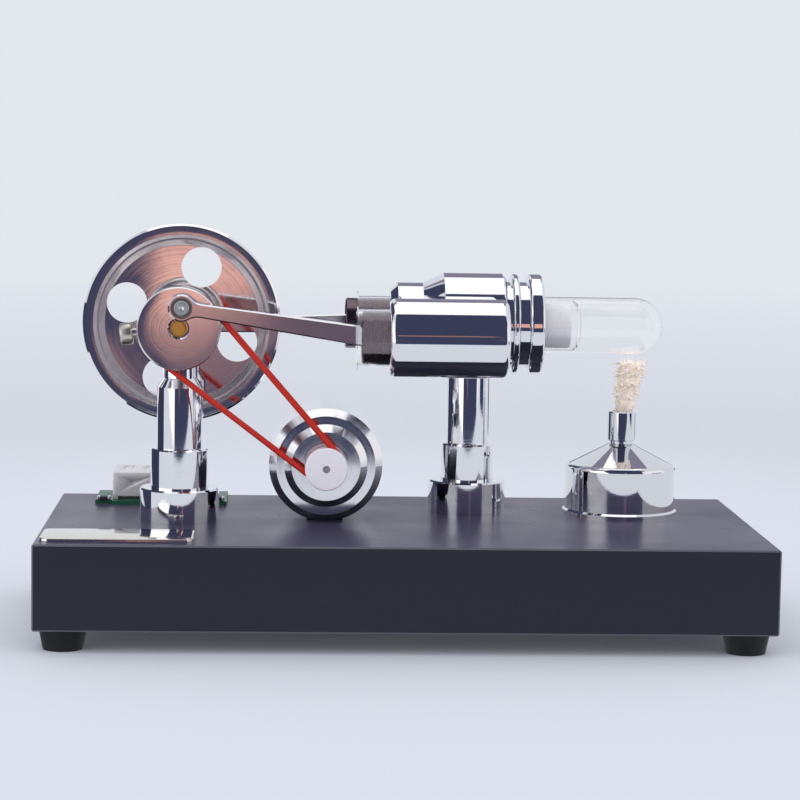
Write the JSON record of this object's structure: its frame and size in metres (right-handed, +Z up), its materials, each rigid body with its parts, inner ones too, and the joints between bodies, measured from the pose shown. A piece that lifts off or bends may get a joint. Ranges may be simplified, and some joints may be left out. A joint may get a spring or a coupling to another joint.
{
  "type": "stirling engine model",
  "caption": "Bench hot-air engine: glass hot tube over a spirit burner, two cylinders, spoked flywheel and a belt-driven generator on a black base with a USB outlet.",
  "frame": {"origin": "on the bench under the middle of the base, between the rubber feet", "axes": "+X from the flywheel towards the burner, +Y towards the back, +Z up"},
  "size_m": [0.178, 0.088, 0.1001],
  "materials": {
    "base_black": "matt black powder coat",
    "foot_rubber": "moulded matt black rubber",
    "screw_steel": "plated steel screws",
    "polished_aluminium": "mirror-polished turned aluminium",
    "plate_steel": "polished plate, bare",
    "bearing_steel": "ground bearing steel",
    "piston_steel": "ground dark steel",
    "shaft_brass": "turned brass",
    "cylinder_glass": "clear ground glass",
    "tube_glass": "clear borosilicate glass",
    "packing_ceramic": "pale ceramic packing",
    "plug_aluminium": "turned aluminium",
    "seal_silicone": "silicone rubber",
    "belt_silicone": "red silicone cord",
    "motor_steel": "zinc-plated can",
    "cover_plastic": "black moulded plastic",
    "pulley_plastic": "white nylon",
    "board_green": "green solder mask on glass fibre",
    "usb_tin": "tin-plated steel",
    "component_grey": "moulded chip parts",
    "burner_steel": "polished stainless steel",
    "wick_cotton": "twisted cotton"
  },
  "bodies": {
    "frame": {"base": "base_black", "rubber_feet": "foot_rubber", "foot_screws": "screw_steel", "post_screws": "screw_steel", "generator_screw": "screw_steel", "nameplate": "plate_steel", "crank_post": "polished_aluminium", "front_shaft_bearing": "bearing_steel", "rear_shaft_bearing": "bearing_steel", "cylinder_post": "polished_aluminium", "cylinder_block": "polished_aluminium", "power_cylinder_glass": "cylinder_glass", "guide_cylinder_glass": "cylinder_glass", "displacer_rod_bush": "shaft_brass", "hot_end_flange": "polished_aluminium", "hot_tube_seal": "seal_silicone", "hot_end_nut": "polished_aluminium", "hot_tube": "tube_glass", "generator_pad": "foot_rubber", "generator_housing": "polished_aluminium", "generator_motor": "motor_steel", "generator_rear_cover": "cover_plastic", "generator_terminals": "shaft_brass", "generator_bush": "shaft_brass", "drive_belt": "belt_silicone", "circuit_board": "board_green", "usb_shell": "usb_tin", "usb_insulator": "cover_plastic", "usb_contacts": "shaft_brass", "board_components": "component_grey"},
    "crankshaft": {"crank_shaft": "shaft_brass", "crank_disc": "polished_aluminium", "crank_set_screw": "screw_steel", "flywheel": "polished_aluminium", "flywheel_set_screw": "screw_steel"},
    "generator_rotor": {"generator_shaft": "bearing_steel", "generator_pulley": "pulley_plastic"},
    "power_piston_body": {"power_piston": "piston_steel", "power_gudgeon_pin": "bearing_steel"},
    "power_rod_body": {"power_rod": "polished_aluminium", "power_rod_bearing": "bearing_steel", "power_crank_pin": "screw_steel"},
    "displacer_body": {"guide_piston": "piston_steel", "guide_gudgeon_pin": "bearing_steel", "displacer_rod": "bearing_steel", "displacer_plug": "plug_aluminium", "displacer_shell": "tube_glass", "displacer_core": "packing_ceramic"},
    "displacer_link_body": {"displacer_link": "polished_aluminium", "displacer_link_bearing": "bearing_steel", "displacer_crank_pin": "screw_steel"},
    "burner": {"burner_tank": "burner_steel", "burner_lid": "burner_steel", "wick_holder": "burner_steel", "wick": "wick_cotton"}
  },
  "joints": [
    {"name": "crankshaft_spin", "type": "hinge", "parent": "frame", "child": "crankshaft", "pos_m": [-0.056, -0.0017, 0.0751], "axis": [0, 1, 0], "continuous": true},
    {"name": "generator_spin", "type": "hinge", "parent": "frame", "child": "generator_rotor", "pos_m": [-0.0193, -0.0137, 0.04075], "axis": [0, 1, 0], "continuous": true},
    {"name": "power_stroke", "type": "slide", "parent": "frame", "child": "power_piston_body", "axis": [1, 0, 0], "range_m": [-0.00579, 0.00501]},
    {"name": "power_rod_swing", "type": "hinge", "parent": "power_piston_body", "child": "power_rod_body", "pos_m": [-0.00793, -0.0175, 0.0737], "axis": [0, 1, 0], "range_deg": [-12.93, 0.08]},
    {"name": "displacer_stroke", "type": "slide", "parent": "frame", "child": "displacer_body", "axis": [1, 0, 0], "range_m": [-0.0002, 0.0106]},
    {"name": "displacer_link_swing", "type": "hinge", "parent": "displacer_body", "child": "displacer_link_body", "pos_m": [-0.0112, 0.0175, 0.0748], "axis": [0, 1, 0], "range_deg": [-4.49, 7.91]},
    {"name": "burner_slide", "type": "slide", "parent": "frame", "child": "burner", "axis": [0, -1, 0], "range_m": [0, 0.045]}
  ],
  "couplings": [
    {"joint": "generator_spin", "follows": "crankshaft_spin", "ratio": 2.2326}
  ]
}
